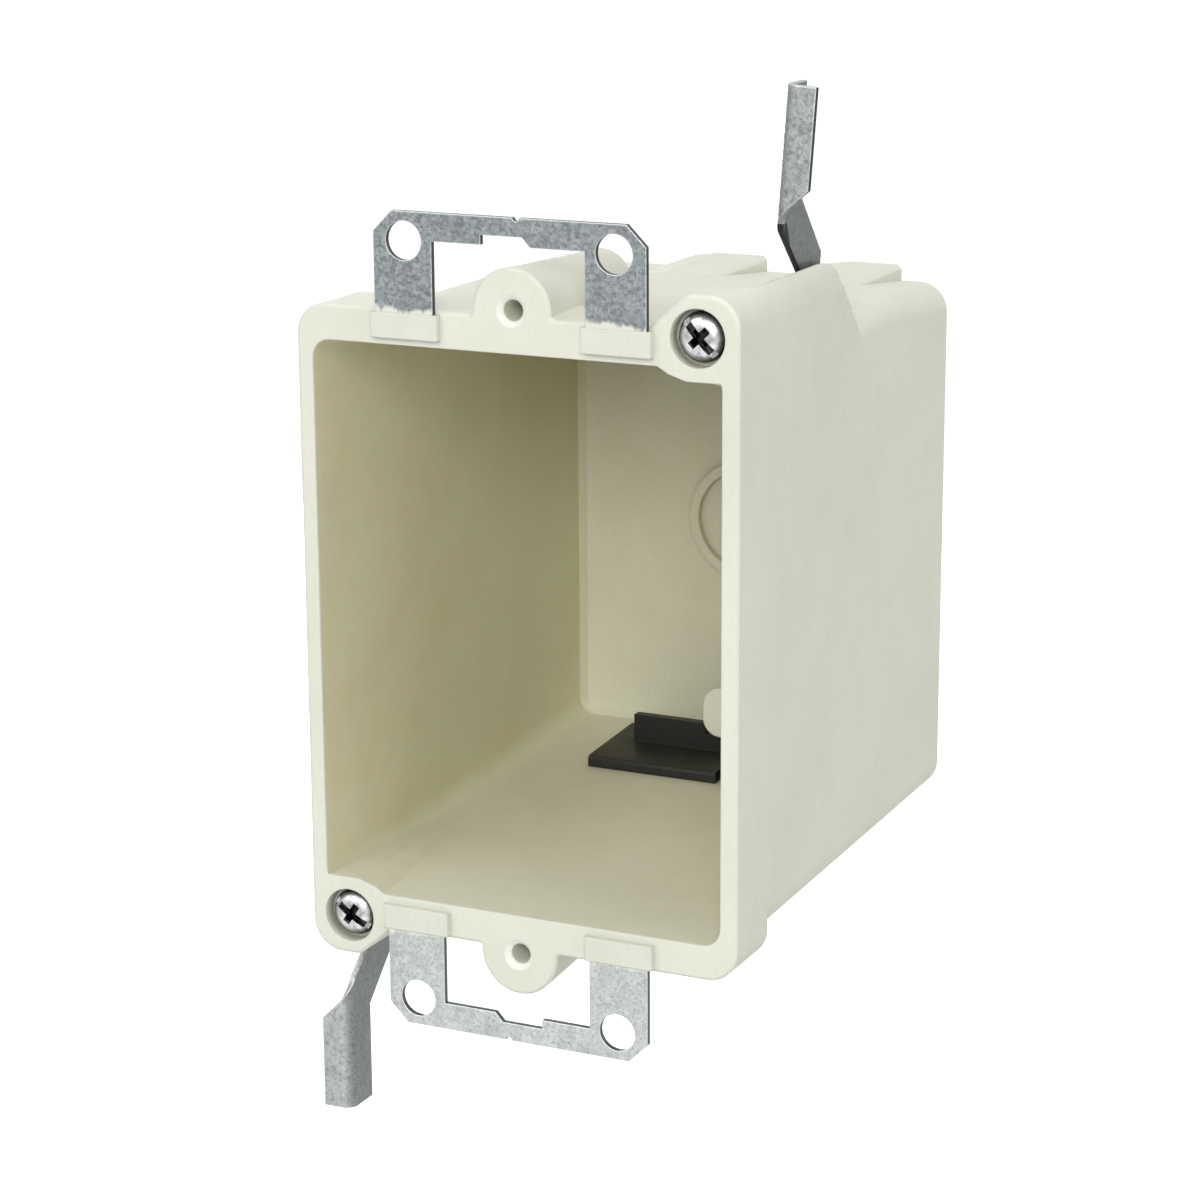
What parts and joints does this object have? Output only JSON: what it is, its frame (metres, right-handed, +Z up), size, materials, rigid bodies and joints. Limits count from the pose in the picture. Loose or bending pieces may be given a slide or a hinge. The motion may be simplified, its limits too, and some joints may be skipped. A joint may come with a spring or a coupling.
{
  "type": "old-work wall box",
  "caption": "Deep moulded wall box for one wiring device in a finished drywall: wall ears, screw-drawn swing brackets at opposite corners and cable clamps inside.",
  "frame": {"origin": "middle of the rim's front face, halfway between the two device screw holes", "axes": "+X right and +Z up as seen from the room, +Y into the wall"},
  "size_m": [0.0641, 0.0778, 0.1376],
  "materials": {
    "moulded_box": "cream glass-filled moulding, satin",
    "galvanized_sheet": "galvanized sheet with fine spangle",
    "zinc_screw": "bright zinc plate",
    "black_clamp": "black moulded plastic, matt"
  },
  "bodies": {
    "box": {"box_body": "moulded_box", "top_ear": "galvanized_sheet", "bottom_ear": "galvanized_sheet", "bottom_cable_clamp": "black_clamp", "top_cable_clamp": "black_clamp"},
    "top_screw": {"top_clamp_screw": "zinc_screw"},
    "bottom_screw": {"bottom_clamp_screw": "zinc_screw"},
    "top_bracket": {"top_swing_bracket": "galvanized_sheet"},
    "bottom_bracket": {"bottom_swing_bracket": "galvanized_sheet"}
  },
  "joints": [
    {"name": "top_screw_turn", "type": "hinge", "parent": "box", "child": "top_screw", "pos_m": [0.0248, 0.0259, 0.04], "axis": [0, 1, 0], "range_deg": [-80, 0]},
    {"name": "bottom_screw_turn", "type": "hinge", "parent": "box", "child": "bottom_screw", "pos_m": [-0.0248, 0.0121, -0.04], "axis": [0, 1, 0], "range_deg": [-76, 0]},
    {"name": "top_bracket_travel", "type": "slide", "parent": "top_screw", "child": "top_bracket", "axis": [0, 1, 0], "range_m": [-0.0138, 0.0117]},
    {"name": "bottom_bracket_travel", "type": "slide", "parent": "bottom_screw", "child": "bottom_bracket", "axis": [0, 1, 0], "range_m": [0, 0.0255]}
  ]
}
